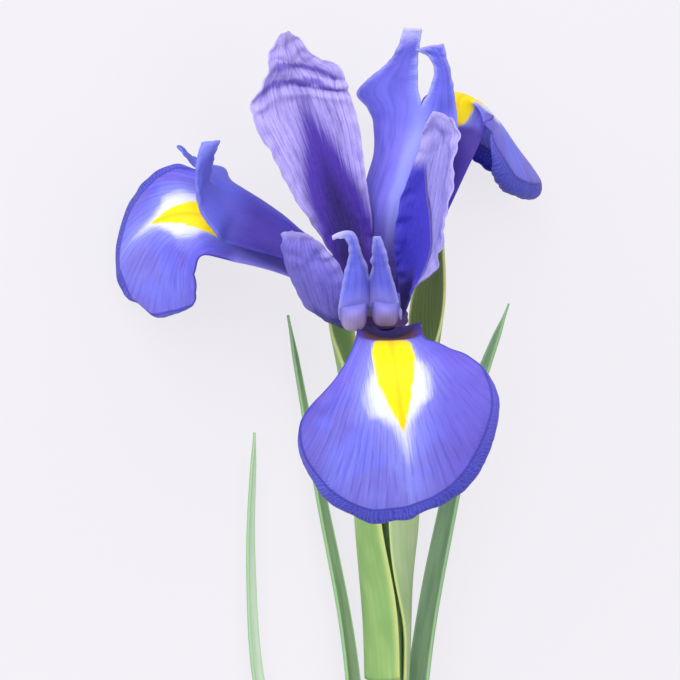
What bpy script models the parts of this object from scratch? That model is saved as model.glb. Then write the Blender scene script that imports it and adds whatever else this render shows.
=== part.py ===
"""A cut blue iris with its spathes and leaves, lying on its back. Metres, +Z up.

The plant is drawn as it stands, in millimetres: x to the right, y away from the front and z up the
stem, with its throat, where all the petals join, at the origin. Every petal is a row of ribs along
its midrib, and one empty lays the whole plant down.
"""

import math

import bmesh
import bpy
import numpy as np
from mathutils import Matrix, Vector

MM = 0.001

# Driving sizes, in millimetres and degrees
PETAL_THICKNESS = 0.8
STYLE_THICKNESS = 0.8
SPATHE_THICKNESS = 0.9
LEAF_THICKNESS = 1.0
STEM_RADIUS = 3.6
FALL_SLANT = 12.0
PETAL_COLUMNS = 7
LEAF_COLUMNS = 3
RIB_STEPS = 2
LAY_BACK = -90.0  # about X, from standing to lying
LAY_ROLL = -19.5  # about the stem
LAY_DIP = -3.0  # about X again, so that two falls and the stem's end touch the surface

# A rib: midrib point, left and right half widths, direction that the inner face looks, cup at the edges.
# Left and right are as seen from the petal's tip, looking in at the throat. A cup below zero is a droop.
FALL_FRONT = (
    ((0.6, -3.6, -2.8), (2.0, 2.2), (0, 0, 1), 40),
    ((0.5, -13.5, -3.6), (4.6, 4.6), (0, 0, 1), 45),
    ((0.7, -25.5, -4.4), (6.4, 7.4), (0, 0, 1), 52),
    ((0.8, -36.5, -4.6), (7.4, 7.4), (0, -0.2, 1), 36),
    ((0.9, -44.5, -5.4), (8.4, 8.0), (0, -0.7, 0.8), 6),
    ((1.2, -48.8, -8.4), (12.0, 12.2), (0, -1, 0.3), -8),
    ((1.6, -50.4, -12.4), (18.8, 16.6), (0, -1, 0.1), -14),
    ((2.1, -50.0, -17.5), (21.4, 19.6), (0, -1, 0), -18),
    ((3.0, -47.8, -25.4), (20.6, 20.4), (0, -1, -0.2), -20),
    ((3.9, -44.4, -33.3), (16.4, 17.0), (0, -1, -0.3), -18),
    ((4.4, -41.8, -38.4), (9.4, 10.8), (0, -1, -0.4), -14),
    ((4.6, -40.8, -40.8), (1.0, 1.0), (0, -1, -0.4), -10),
)
FALL_LEFT = (
    ((-3.8, 0.0, 0.2), (2.2, 2.2), (0, -0.6, 0.8), 40),
    ((-12.0, -3.4, 5.8), (4.6, 4.4), (0.2, -0.6, 0.8), 45),
    ((-21.0, -6.8, 11.8), (5.6, 7.2), (0.2, -0.6, 0.8), 30),
    ((-29.6, -9.8, 17.6), (6.8, 10.4), (0.1, -0.7, 0.7), 14),
    ((-36.4, -11.6, 21.0), (11.0, 11.6), (-0.2, -0.75, 0.6), 0),
    ((-41.8, -11.4, 20.8), (15.6, 14.2), (-0.4, -0.8, 0.4), -12),
    ((-46.4, -9.8, 18.4), (16.4, 17.2), (-0.55, -0.78, 0.25), -20),
    ((-50.0, -7.0, 14.6), (15.6, 17.8), (-0.62, -0.76, 0.15), -24),
    ((-52.8, -3.8, 10.0), (12.4, 14.6), (-0.66, -0.74, 0.1), -22),
    ((-54.4, -1.2, 6.2), (7.8, 10.0), (-0.7, -0.7, 0.1), -16),
    ((-55.2, 0.0, 4.2), (1.0, 1.0), (-0.7, -0.7, 0.1), -10),
)
FALL_BACK = (
    ((1.9, 3.4, 3.0), (2.2, 2.2), (-0.2, -0.9, 0.5), 40),
    ((5.6, 5.0, 12.6), (4.3, 4.3), (-0.2, -0.9, 0.4), 50),
    ((10.0, 6.6, 24.5), (5.3, 5.3), (-0.1, -0.9, 0.4), 45),
    ((14.0, 7.6, 36.5), (6.6, 6.6), (0, -0.7, 0.6), 10),
    ((16.6, 9.0, 47.4), (9.6, 9.6), (0.2, -0.3, 0.9), -30),
    ((20.4, 11.6, 47.6), (12.5, 12.5), (0.5, -0.05, 0.85), -50),
    ((24.2, 15.0, 44.6), (15.0, 15.0), (0.65, 0, 0.75), -60),
    ((28.4, 20.0, 40.0), (15.6, 15.0), (0.7, 0, 0.7), -62),
    ((32.2, 25.0, 35.4), (11.6, 11.0), (0.72, 0, 0.69), -54),
    ((34.6, 28.4, 32.0), (6.4, 6.0), (0.75, 0, 0.66), -40),
    ((35.6, 29.8, 30.6), (1.0, 1.0), (0.75, 0, 0.66), -30),
)
STANDARD_BACK = (
    ((-3.2, 3.2, 3.4), (1.6, 1.6), (0.5, -0.8, 0.2), 30),
    ((-6.6, 1.4, 13.5), (3.8, 4.8), (0.4, -0.9, 0.1), 30),
    ((-8.6, 0.2, 21.0), (5.6, 7.0), (0.3, -1, 0), 26),
    ((-11.2, -1.8, 28.5), (7.6, 9.0), (0.25, -1, 0), 22),
    ((-14.4, -4.8, 38.0), (9.2, 9.6), (0.2, -1, 0), 18),
    ((-16.8, -7.4, 45.0), (9.4, 11.0), (0.2, -1, 0), 14),
    ((-18.4, -9.6, 50.0), (9.0, 9.4), (0.2, -1, 0), 10),
    ((-19.4, -11.2, 53.4), (4.6, 5.6), (0.2, -1, 0), 10),
    ((-20.3, -12.6, 57.0), (2.8, 3.2), (0.2, -1, 0), 10),
    ((-20.8, -13.6, 59.2), (0.9, 0.9), (0.2, -1, 0), 10),
)
STANDARD_RIGHT = (
    ((4.2, -2.8, 0.6), (1.9, 1.9), (-0.8, -0.4, 0.3), 30),
    ((5.4, -7.4, 5.8), (3.6, 3.4), (-0.7, -0.6, 0.2), 45),
    ((6.6, -12.2, 11.8), (7.0, 5.0), (-0.6, -0.75, 0.1), 56),
    ((7.6, -16.2, 17.0), (8.6, 5.6), (-0.5, -0.85, 0.1), 56),
    ((8.8, -20.4, 23.0), (9.0, 5.6), (-0.5, -0.85, 0.1), 56),
    ((9.6, -24.2, 29.0), (8.4, 4.2), (-0.5, -0.85, 0.1), 52),
    ((10.5, -27.6, 34.6), (6.4, 3.0), (-0.5, -0.85, 0.1), 45),
    ((11.1, -29.8, 38.8), (4.6, 3.0), (-0.5, -0.85, 0.1), 35),
    ((11.3, -31.0, 41.0), (2.8, 1.8), (-0.5, -0.85, 0.1), 30),
)
STANDARD_LEFT = (
    ((-4.2, -3.8, -1.6), (1.4, 1.4), (0.6, 0.4, 0.5), 30),
    ((-8.6, -10.8, -2.2), (3.2, 3.4), (0.5, 0.4, 0.7), 50),
    ((-13.6, -16.6, 1.2), (6.4, 5.8), (0.5, 0.5, 0.6), 62),
    ((-16.2, -21.2, 6.6), (7.8, 8.4), (0.5, 0.6, 0.6), 62),
    ((-17.6, -24.2, 11.6), (7.0, 7.0), (0.5, 0.7, 0.5), 56),
    ((-17.8, -26.2, 15.4), (4.8, 4.8), (0.5, 0.7, 0.4), 45),
    ((-17.8, -26.8, 17.0), (1.8, 1.8), (0.5, 0.7, 0.4), 30),
)

# Style arms: ribs up to the lip, then a left and a right crest, each as rows of inner point, outer
# point and how far the middle of the row swells forwards.
STYLE_FRONT = (
    ((-0.4, -2.8, 2.4), (1.1, 1.1), (0, 0.2, 1), -20),
    ((-1.2, -11.4, 4.6), (3.4, 3.4), (0, 0.1, 1), -40),
    ((-2.1, -21.6, 5.0), (5.8, 5.8), (0, 0, 1), -56),
    ((-2.9, -30.0, 3.8), (7.0, 7.0), (0, 0.1, 1), -52),
    ((-3.2, -36.2, 1.8), (6.8, 7.0), (0, 0.1, 1), -44),
)
CRESTS_FRONT = (
    (
        ((-3.5, -38.4, 3.6), (-9.4, -38.0, 1.6), 1.8),
        ((-3.6, -40.2, 7.0), (-8.8, -40.0, 5.4), 1.5),
        ((-4.1, -42.4, 10.4), (-8.0, -42.2, 9.4), 1.0),
        ((-5.4, -44.8, 13.6), (-7.4, -44.8, 12.8), 0.6),
        ((-6.6, -46.4, 16.6), (-8.0, -46.2, 15.2), 0.3),
        ((-9.0, -47.0, 16.6), (-9.4, -46.8, 15.4), 0.2),
        ((-10.8, -47.0, 15.8), (-10.6, -46.8, 15.0), 0.1),
    ),
    (
        ((-3.0, -38.4, 3.6), (2.6, -38.0, 2.2), 1.8),
        ((-3.0, -40.2, 7.0), (1.7, -40.0, 5.8), 1.5),
        ((-2.9, -42.4, 10.2), (0.6, -42.2, 9.4), 1.0),
        ((-2.7, -44.8, 13.2), (-0.2, -44.8, 12.6), 0.6),
        ((-2.5, -46.6, 15.8), (-1.5, -46.4, 15.8), 0.3),
    ),
)
STYLE_LEFT = (
    ((-2.2, -1.6, 3.6), (1.1, 1.1), (0.4, -0.5, 0.8), -20),
    ((-8.6, -6.0, 10.2), (3.4, 3.8), (0.4, -0.5, 0.8), -40),
    ((-16.6, -10.2, 17.0), (5.4, 7.4), (0.3, -0.55, 0.8), -52),
    ((-23.8, -13.4, 22.0), (8.0, 10.4), (0.2, -0.6, 0.8), -56),
    ((-29.6, -15.8, 25.4), (9.8, 12.4), (-0.1, -0.6, 0.8), -58),
)
CRESTS_LEFT = (
    (
        ((-33.6, -17.2, 27.0), (-33.6, -9.0, 31.2), 1.2),
        ((-36.8, -18.6, 29.0), (-37.4, -12.2, 32.2), 1.0),
        ((-39.6, -20.0, 31.4), (-40.8, -15.8, 34.2), 0.8),
        ((-41.4, -21.0, 33.8), (-42.8, -18.6, 35.8), 0.5),
    ),
    (
        ((-33.8, -18.0, 26.2), (-34.4, -24.8, 16.8), 1.6),
        ((-36.2, -20.0, 28.4), (-37.8, -25.4, 21.4), 1.3),
        ((-35.6, -22.0, 31.6), (-38.8, -26.0, 26.8), 1.0),
        ((-34.8, -23.8, 34.2), (-38.6, -26.2, 31.8), 0.6),
        ((-33.8, -25.0, 36.2), (-37.6, -26.2, 35.8), 0.4),
    ),
)
STYLE_BACK = (
    ((0.6, 0.8, 4.6), (1.1, 1.1), (-0.3, -0.9, 0.3), -20),
    ((0.8, 0.2, 13.4), (3.4, 4.3), (-0.3, -0.9, 0.3), -35),
    ((2.6, -0.6, 24.6), (6.0, 9.4), (-0.3, -0.95, 0.2), -45),
    ((5.0, -0.8, 33.4), (8.6, 9.0), (-0.2, -1, 0.2), -42),
    ((7.0, -0.6, 39.4), (9.4, 10.4), (-0.1, -1, 0.2), -32),
)
CRESTS_BACK = (
    (
        ((8.7, -1.4, 44.8), (15.8, 1.8, 43.4), 0.8),
        ((9.8, -2.8, 48.6), (15.2, -0.6, 47.6), 0.8),
        ((10.8, -4.4, 52.0), (14.4, -3.4, 52.0), 0.6),
        ((9.8, -6.2, 55.0), (13.2, -5.6, 55.4), 0.5),
        ((6.8, -7.6, 56.8), (12.8, -7.4, 57.8), 0.4),
    ),
    (
        ((7.5, -1.4, 45.2), (-3.2, 2.6, 45.0), 0.8),
        ((7.4, -2.8, 49.8), (-5.6, 1.6, 48.6), 0.8),
        ((7.3, -4.6, 54.0), (-0.2, -2.4, 53.4), 0.8),
        ((7.6, -6.6, 57.8), (2.8, -5.6, 56.8), 0.6),
        ((8.0, -8.4, 61.0), (4.4, -8.0, 61.2), 0.4),
    ),
)

# Green parts. The stem's axis is a row of points from the ovary down to the cut.
STEM = ((0.9, 16.6, -33.0), (1.1, 19.0, -52.0), (1.2, 22.4, -74.0), (1.4, 26.0, -98.0), (1.6, 29.6, -122.0))
OVARY = (
    ((0.0, 1.6, -3.6), 2.6),
    ((0.2, 4.4, -8.0), 2.2),
    ((0.4, 8.0, -14.0), 3.3),
    ((0.7, 12.6, -24.0), 3.4),
    ((0.9, 16.0, -31.6), 2.4),
)
SPATHE_LEFT = (
    ((-1.6, 19.4, -80.0), (5.9, 5.9), (0.6, 0.8, 0), 72),
    ((-2.7, 17.7, -66.0), (6.6, 6.6), (0.75, 0.66, 0), 73),
    ((-5.2, 16.4, -48.0), (7.6, 7.6), (0.95, 0.3, 0), 66),
    ((-6.8, 15.6, -30.0), (8.2, 8.2), (1, 0, 0), 60),
    ((-9.2, 13.8, -12.0), (6.0, 6.0), (0.95, -0.2, 0), 54),
    ((-10.6, 12.2, 0.0), (3.4, 3.4), (0.8, -0.5, 0), 44),
    ((-11.0, 11.6, 7.0), (0.6, 0.6), (0.8, -0.5, 0), 30),
)
SPATHE_RIGHT = (
    ((5.0, 26.0, -80.0), (5.9, 5.9), (-0.8, -0.6, 0), 72),
    ((5.9, 23.4, -66.0), (6.4, 6.4), (-0.9, -0.43, 0), 70),
    ((7.4, 16.4, -48.0), (7.8, 7.8), (-0.95, 0.3, 0), 68),
    ((8.0, 13.4, -30.0), (8.4, 8.4), (-0.95, 0.3, 0), 64),
    ((11.2, 15.0, -10.0), (7.4, 7.4), (-0.9, -0.3, 0), 56),
    ((11.2, 16.0, 5.0), (4.8, 4.8), (-0.6, -0.8, 0), 44),
    ((12.8, 16.2, 19.0), (0.6, 0.6), (-0.5, -0.85, 0), 30),
)
LEAF_RIGHT = (
    ((7.4, 30.4, -114.0), (3.8, 3.8), (-0.8, -0.6, 0), 40),
    ((7.8, 28.6, -92.0), (3.4, 3.4), (-0.7, -0.7, 0), 40),
    ((9.6, 27.0, -72.0), (2.6, 2.6), (-0.5, -0.9, 0), 35),
    ((13.4, 25.6, -50.0), (2.4, 2.4), (-0.5, -0.9, 0), 30),
    ((20.0, 23.8, -20.0), (1.7, 1.7), (-0.5, -0.9, 0), 20),
    ((28.2, 22.0, 3.4), (0.4, 0.4), (-0.5, -0.9, 0), 10),
)
LEAF_LEFT = (
    ((-5.4, 28.6, -114.0), (2.8, 2.8), (0.8, -0.6, 0), 40),
    ((-5.6, 26.6, -92.0), (2.2, 2.2), (0.6, -0.8, 0), 35),
    ((-8.0, 23.8, -68.0), (1.7, 1.7), (0.6, -0.8, 0), 30),
    ((-14.2, 19.6, -35.0), (1.2, 1.2), (0.6, -0.8, 0), 20),
    ((-20.6, 16.0, 0.8), (0.4, 0.4), (0.6, -0.8, 0), 10),
)
LEAF_FAR_LEFT = (
    ((-7.4, 27.2, -118.0), (2.2, 2.2), (0.6, -0.8, 0), 35),
    ((-19.0, 23.0, -106.0), (1.8, 1.8), (0.6, -0.8, 0), 30),
    ((-26.8, 19.0, -82.0), (1.4, 1.4), (0.6, -0.8, 0), 20),
    ((-28.8, 16.4, -53.0), (1.0, 1.0), (0.6, -0.8, 0), 15),
    ((-27.9, 15.0, -25.0), (0.4, 0.4), (0.6, -0.8, 0), 10),
)

# Stamens: a filament that widens into an anther, lying under each style arm.
STAMENS = {
    "stamen_front": ((0.0, -6.0, -0.6), (-0.8, -14.0, -0.4), (-1.2, -22.0, 0.0), (-1.6, -30.0, 0.0)),
    "stamen_left": ((-5.4, -2.4, 3.4), (-11.0, -5.4, 8.2), (-17.6, -8.6, 13.4), (-24.4, -11.4, 17.8)),
    "stamen_back": ((1.8, 3.0, 8.0), (3.4, 3.2, 15.0), (6.0, 3.6, 23.0), (8.8, 4.2, 31.0)),
}
STAMEN_RADII = (0.5, 0.6, 1.0, 0.5)

# Colour, roughness
VIOLET = ((0.13, 0.1, 0.62), 0.5)
LILAC = ((0.3, 0.22, 0.66), 0.5)
STYLE_BLUE = ((0.16, 0.18, 0.72), 0.45)
ANTHER_CREAM = ((0.75, 0.68, 0.5), 0.7)
SPATHE_GREEN = ((0.3, 0.46, 0.2), 0.55)
STEM_GREEN = ((0.26, 0.42, 0.17), 0.5)
LEAF_GREEN = ((0.1, 0.26, 0.14), 0.5)


def clear_scene():
    for old in list(bpy.data.objects):
        bpy.data.objects.remove(old, do_unlink=True)


def collection(name):
    made = bpy.data.collections.new(name)
    bpy.context.scene.collection.children.link(made)
    return made


def material(name, look):
    made = bpy.data.materials.new(name)
    made.use_nodes = True
    shader = made.node_tree.nodes["Principled BSDF"]
    shader.inputs["Base Color"].default_value = (*look[0], 1.0)
    shader.inputs["Roughness"].default_value = look[1]
    shader.inputs["Metallic"].default_value = 0.0
    made.diffuse_color = (*look[0], 1.0)
    return made


def catmull(rows, steps):
    """Rows of numbers drawn out into a smooth run through them, with steps spans between each two."""
    p = np.vstack([2 * rows[0] - rows[1], rows, 2 * rows[-1] - rows[-2]])
    run = []
    for i in range(1, len(p) - 2):
        a, b, c, d = p[i - 1 : i + 3]
        for t in np.arange(steps) / steps:
            linear, square, cube = c - a, 2 * a - 5 * b + 4 * c - d, 3 * b - a - 3 * c + d
            run.append(b + 0.5 * (linear * t + square * t**2 + cube * t**3))
    run.append(rows[-1])
    return np.array(run)


def rib_points(ribs, columns, steps, slant=0.0):
    """Points across a run of ribs, each from the left edge to the right, bent to the rib's cup."""
    run = catmull(np.array([(*middle, *widths, *face, cup) for middle, widths, face, cup in ribs]), steps)
    spine = [Vector(row[:3]) for row in run]
    rows = []
    for i, row in enumerate(run):
        along = (spine[min(i + 1, len(run) - 1)] - spine[max(i - 1, 0)]).normalized()
        side = Vector(row[5:8]).cross(along).normalized()
        normal = along.cross(side)
        tilt = math.radians(slant) * min(2.0 * i / len(run), 1.0)
        side = side * math.cos(tilt) - along * math.sin(tilt)
        bend = math.radians(row[8]) or 1e-6
        line = []
        for w in np.linspace(-1.0, 1.0, columns):
            reach = max(row[3] if w < 0 else row[4], 0.3)
            across = reach * math.sin(bend * w) / bend
            rise = reach * (1 - math.cos(bend * w)) / bend
            line.append(spine[i] + side * across + normal * rise)
        rows.append(line)
    return rows


def crest_points(joint, crest, columns, steps):
    """Points across a crest, inner edge to outer. joint is the arm's last two rows, halved, which
    the crest carries on from."""
    rows = [[c for point in row for c in point] for row in joint]
    for inner, outer, swell in crest:
        row = []
        for w in np.linspace(0.0, 1.0, columns):
            point = Vector(inner).lerp(Vector(outer), w)
            point.y -= 4 * swell * w * (1 - w)
            row.extend(point)
        rows.append(row)
    run = catmull(np.array(rows), steps)[steps + 1 :]
    return [[Vector(row[i : i + 3]) for i in range(0, 3 * columns, 3)] for row in run]


def add_rows(bm, rows, first=None):
    """Skin rows of points with quads. first holds the vertices that the first row joins on to."""
    above = first
    for row in rows:
        verts = [bm.verts.new(p * MM) for p in row]
        if above:
            for a, b, c, d in zip(above[:-1], above[1:], verts[1:], verts[:-1]):
                bm.faces.new((a, b, c, d))
        above = verts
    return above


def sheet_object(name, bm, thickness):
    """A closed body from an open sheet, with Solidify for its wall."""
    bmesh.ops.recalc_face_normals(bm, faces=bm.faces)
    mesh = bpy.data.meshes.new(name)
    bm.to_mesh(mesh)
    bm.free()
    made = bpy.data.objects.new(name, mesh)
    wall = made.modifiers.new("wall", "SOLIDIFY")
    wall.thickness = thickness * MM
    wall.offset = 0.0
    mesh.shade_smooth()
    return made


def petal(name, ribs, thickness, slant=0.0, columns=PETAL_COLUMNS):
    bm = bmesh.new()
    add_rows(bm, rib_points(ribs, columns, RIB_STEPS, slant))
    return sheet_object(name, bm, thickness)


def style_arm(name, ribs, crests):
    """An arm with two crests: its last rib carries the left crest on its left half, the right on its right."""
    bm = bmesh.new()
    rows = rib_points(ribs, PETAL_COLUMNS, RIB_STEPS)
    last = add_rows(bm, rows)
    half = PETAL_COLUMNS // 2
    left, right = crests
    joint = [row[half::-1] for row in rows[-2:]]
    add_rows(bm, [row[::-1] for row in crest_points(joint, left, half + 1, RIB_STEPS)], last[: half + 1])
    joint = [row[half:] for row in rows[-2:]]
    add_rows(bm, crest_points(joint, right, half + 1, RIB_STEPS), last[half:])
    return sheet_object(name, bm, STYLE_THICKNESS)


def tube(name, points, radii, resolution=2):
    """A round stalk as a bevelled curve through points, with a radius at each, closed at both ends."""
    curve = bpy.data.curves.new(name, "CURVE")
    curve.dimensions = "3D"
    curve.bevel_depth = MM
    curve.bevel_resolution = resolution
    curve.resolution_u = 3
    curve.use_fill_caps = True
    spline = curve.splines.new("NURBS")
    spline.points.add(len(points) - 1)
    for made, point, radius in zip(spline.points, points, radii):
        made.co = (*(Vector(point) * MM), 1.0)
        made.radius = radius
    spline.use_endpoint_u = True
    spline.order_u = 3
    return bpy.data.objects.new(name, curve)


def build_flower():
    violet = material("violet", VIOLET)
    lilac = material("lilac", LILAC)
    blue = material("style_blue", STYLE_BLUE)
    cream = material("anther_cream", ANTHER_CREAM)
    made = []
    for name, ribs, slant in (
        ("fall_front", FALL_FRONT, FALL_SLANT),
        ("fall_left", FALL_LEFT, 0.0),
        ("fall_back", FALL_BACK, 0.0),
    ):
        made.append((petal(name, ribs, PETAL_THICKNESS, slant), violet))
    for name, ribs in (
        ("standard_back", STANDARD_BACK),
        ("standard_right", STANDARD_RIGHT),
        ("standard_left", STANDARD_LEFT),
    ):
        made.append((petal(name, ribs, PETAL_THICKNESS), lilac))
    for name, ribs, crests in (
        ("style_arm_front", STYLE_FRONT, CRESTS_FRONT),
        ("style_arm_left", STYLE_LEFT, CRESTS_LEFT),
        ("style_arm_back", STYLE_BACK, CRESTS_BACK),
    ):
        made.append((style_arm(name, ribs, crests), blue))
    for name, points in STAMENS.items():
        made.append((tube(name, points, STAMEN_RADII, 1), cream))
    return made


def build_greens():
    green = material("stem_green", STEM_GREEN)
    spathe = material("spathe_green", SPATHE_GREEN)
    leaf = material("leaf_green", LEAF_GREEN)
    made = [(tube("stem", STEM, [STEM_RADIUS] * len(STEM)), green)]
    made.append((tube("ovary", [p for p, _ in OVARY], [r for _, r in OVARY]), green))
    for name, ribs in (("spathe_left", SPATHE_LEFT), ("spathe_right", SPATHE_RIGHT)):
        made.append((petal(name, ribs, SPATHE_THICKNESS), spathe))
    for name, ribs in (("leaf_left", LEAF_LEFT), ("leaf_right", LEAF_RIGHT), ("leaf_far_left", LEAF_FAR_LEFT)):
        made.append((petal(name, ribs, LEAF_THICKNESS, columns=LEAF_COLUMNS), leaf))
    return made


def bounds(parts):
    """The lowest and highest corners of everything as the viewport shows it, in metres."""
    bpy.context.view_layer.update()
    depsgraph = bpy.context.evaluated_depsgraph_get()
    corners = []
    for part in parts:
        shown = part.evaluated_get(depsgraph)
        mesh = shown.to_mesh()
        corners += [shown.matrix_world @ v.co for v in mesh.vertices]
        shown.to_mesh_clear()
    corners = np.array(corners)
    return corners.min(axis=0), corners.max(axis=0)


def lay_down(parts):
    """Hang every part from one empty, turn the plant onto its back with it, and bring the middle of
    the underside of its box to the origin."""
    lay = bpy.data.objects.new("lay", None)
    bpy.context.scene.collection.objects.link(lay)
    iris = collection("iris_flower")
    for part, look in parts:
        part.data.materials.append(look)
        iris.objects.link(part)
        part.parent = lay
    back = Matrix.Rotation(math.radians(LAY_BACK), 4, "X")
    roll = Matrix.Rotation(math.radians(LAY_ROLL), 4, "Y")
    dip = Matrix.Rotation(math.radians(LAY_DIP), 4, "X")
    turn = dip @ roll @ back
    lay.matrix_world = turn
    low, high = bounds([part for part, _ in parts])
    middle = Vector(((low[0] + high[0]) / 2, (low[1] + high[1]) / 2, low[2]))
    lay.matrix_world = Matrix.Translation(-middle) @ turn


def main():
    clear_scene()
    lay_down(build_flower() + build_greens())


main()
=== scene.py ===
import math

import bpy
import numpy as np
from mathutils import Matrix, Vector, noise


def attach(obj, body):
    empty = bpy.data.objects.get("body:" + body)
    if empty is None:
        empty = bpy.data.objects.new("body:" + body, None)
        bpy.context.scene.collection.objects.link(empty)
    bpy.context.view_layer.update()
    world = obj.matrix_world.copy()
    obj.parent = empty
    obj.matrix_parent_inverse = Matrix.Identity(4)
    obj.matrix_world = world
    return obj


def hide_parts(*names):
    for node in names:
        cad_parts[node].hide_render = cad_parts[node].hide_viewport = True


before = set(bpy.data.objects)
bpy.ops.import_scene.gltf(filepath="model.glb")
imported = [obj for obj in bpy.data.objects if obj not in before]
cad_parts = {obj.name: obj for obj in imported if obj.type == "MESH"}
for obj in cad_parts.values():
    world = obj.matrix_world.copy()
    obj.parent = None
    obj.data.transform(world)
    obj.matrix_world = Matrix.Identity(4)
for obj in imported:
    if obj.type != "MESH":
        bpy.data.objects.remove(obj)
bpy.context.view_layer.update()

MM = 0.001

# The plant is drawn standing, in millimetres: x to the right, y away from the front, z up the stem,
# with the throat, where the petals join, at the origin. These lay it down as the frame has it.
LAY_BACK = -90.0  # degrees
LAY_ROLL = -19.5
LAY_DIP = -3.0
THROAT = (4.705, 30.964, 24.36)  # where the throat is, once it lies

PETAL_WALL = 0.34
STYLE_WALL = 0.4
SPATHE_WALL = 0.6
LEAF_WALL = 0.8
STEM_RADIUS = 3.6
NARROWEST = 0.3  # the least that a petal reaches to either side
TIP_FROM = 0.93  # the share of a leaf's length where its tip begins to draw in
FALL_SLANT = 12.0  # degrees that the front fall's ribs are turned, so that it hangs a little askew
FAN_EASE = 7.0  # how gently a fall's veins begin to fan out
CURL_TURN = 130.0  # degrees that a fall's rim curls backwards
CURL_EASE = 14.0  # how far along its side a curl takes to grow
PLEAT = 2.6  # from one pleat of a curled rim to the next
FOLD_LEAN = -0.35  # how far a standard's creases rise across it
FOLD_ARCH = 0.03  # and how far they bow
PETAL_ROWS = 130
PETAL_COLUMNS = 73
NEAR_AT_ONCE = 500  # how many points are measured against the rim at once
EYE = (-9.2, -600.0, -4.7)  # where the front is looked at from
EYE_WIDTH = 145.52  # how much is seen across, at the throat
SENSOR = 36.0  # the width of the camera's sensor

# A rib: midrib point, left and right half widths, direction that the inner face looks, cup at the edges.
# Left and right are as seen from the petal's tip, looking in at the throat. A cup below zero is a droop.
FALL_FRONT = (
    ((0.6, -3.6, -2.8), (2.0, 2.2), (0, 0, 1), 40),
    ((0.5, -13.5, -3.6), (4.6, 4.6), (0, 0, 1), 45),
    ((0.7, -25.5, -4.4), (6.4, 7.4), (0, 0, 1), 52),
    ((0.8, -36.5, -4.6), (7.4, 7.4), (0, -0.2, 1), 36),
    ((0.9, -44.5, -5.4), (8.4, 8.0), (0, -0.7, 0.8), 6),
    ((1.2, -48.8, -8.4), (12.0, 12.2), (0, -1, 0.3), -8),
    ((1.6, -50.4, -12.4), (18.8, 16.6), (0, -1, 0.1), -14),
    ((2.1, -50.0, -17.5), (21.4, 19.6), (0, -1, 0), -18),
    ((3.0, -47.8, -25.4), (20.6, 20.4), (0, -1, -0.2), -20),
    ((3.9, -44.4, -33.3), (16.4, 17.0), (0, -1, -0.3), -18),
    ((4.4, -41.8, -38.4), (9.4, 10.8), (0, -1, -0.4), -14),
    ((4.6, -40.8, -40.8), (1.0, 1.0), (0, -1, -0.4), -10),
)
FALL_LEFT = (
    ((-3.8, 0.0, 0.2), (2.2, 2.2), (0, -0.6, 0.8), 40),
    ((-12.0, -3.4, 5.8), (4.6, 4.4), (0.2, -0.6, 0.8), 45),
    ((-21.0, -6.8, 11.8), (5.6, 7.2), (0.2, -0.6, 0.8), 30),
    ((-29.6, -9.8, 17.6), (6.8, 10.4), (0.1, -0.7, 0.7), 14),
    ((-36.4, -11.6, 21.0), (11.0, 11.6), (-0.2, -0.75, 0.6), 0),
    ((-41.8, -11.4, 20.8), (15.6, 14.2), (-0.4, -0.8, 0.4), -12),
    ((-46.4, -9.8, 18.4), (16.4, 17.2), (-0.55, -0.78, 0.25), -20),
    ((-50.0, -7.0, 14.6), (15.6, 17.8), (-0.62, -0.76, 0.15), -24),
    ((-52.8, -3.8, 10.0), (12.4, 14.6), (-0.66, -0.74, 0.1), -22),
    ((-54.4, -1.2, 6.2), (7.8, 10.0), (-0.7, -0.7, 0.1), -16),
    ((-55.2, 0.0, 4.2), (1.0, 1.0), (-0.7, -0.7, 0.1), -10),
)
FALL_BACK = (
    ((1.9, 3.4, 3.0), (2.2, 2.2), (-0.2, -0.9, 0.5), 40),
    ((5.6, 5.0, 12.6), (4.3, 4.3), (-0.2, -0.9, 0.4), 50),
    ((10.0, 6.6, 24.5), (5.3, 5.3), (-0.1, -0.9, 0.4), 45),
    ((14.0, 7.6, 36.5), (6.6, 6.6), (0, -0.7, 0.6), 10),
    ((16.6, 9.0, 47.4), (9.6, 9.6), (0.2, -0.3, 0.9), -30),
    ((20.4, 11.6, 47.6), (12.5, 12.5), (0.5, -0.05, 0.85), -50),
    ((24.2, 15.0, 44.6), (15.0, 15.0), (0.65, 0, 0.75), -60),
    ((28.4, 20.0, 40.0), (15.6, 15.0), (0.7, 0, 0.7), -62),
    ((32.2, 25.0, 35.4), (11.6, 11.0), (0.72, 0, 0.69), -54),
    ((34.6, 28.4, 32.0), (6.4, 6.0), (0.75, 0, 0.66), -40),
    ((35.6, 29.8, 30.6), (1.0, 1.0), (0.75, 0, 0.66), -30),
)
STANDARD_BACK = (
    ((-3.2, 3.2, 3.4), (1.6, 1.6), (0.5, -0.8, 0.2), 30),
    ((-6.6, 1.4, 13.5), (3.8, 4.8), (0.4, -0.9, 0.1), 30),
    ((-8.6, 0.2, 21.0), (5.6, 7.0), (0.3, -1, 0), 26),
    ((-11.2, -1.8, 28.5), (7.6, 9.0), (0.25, -1, 0), 22),
    ((-14.4, -4.8, 38.0), (9.2, 9.6), (0.2, -1, 0), 18),
    ((-16.8, -7.4, 45.0), (9.4, 11.0), (0.2, -1, 0), 14),
    ((-18.4, -9.6, 50.0), (9.0, 9.4), (0.2, -1, 0), 10),
    ((-19.4, -11.2, 53.4), (4.6, 5.6), (0.2, -1, 0), 10),
    ((-20.3, -12.6, 57.0), (2.8, 3.2), (0.2, -1, 0), 10),
    ((-20.8, -13.6, 59.2), (0.9, 0.9), (0.2, -1, 0), 10),
)
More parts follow.
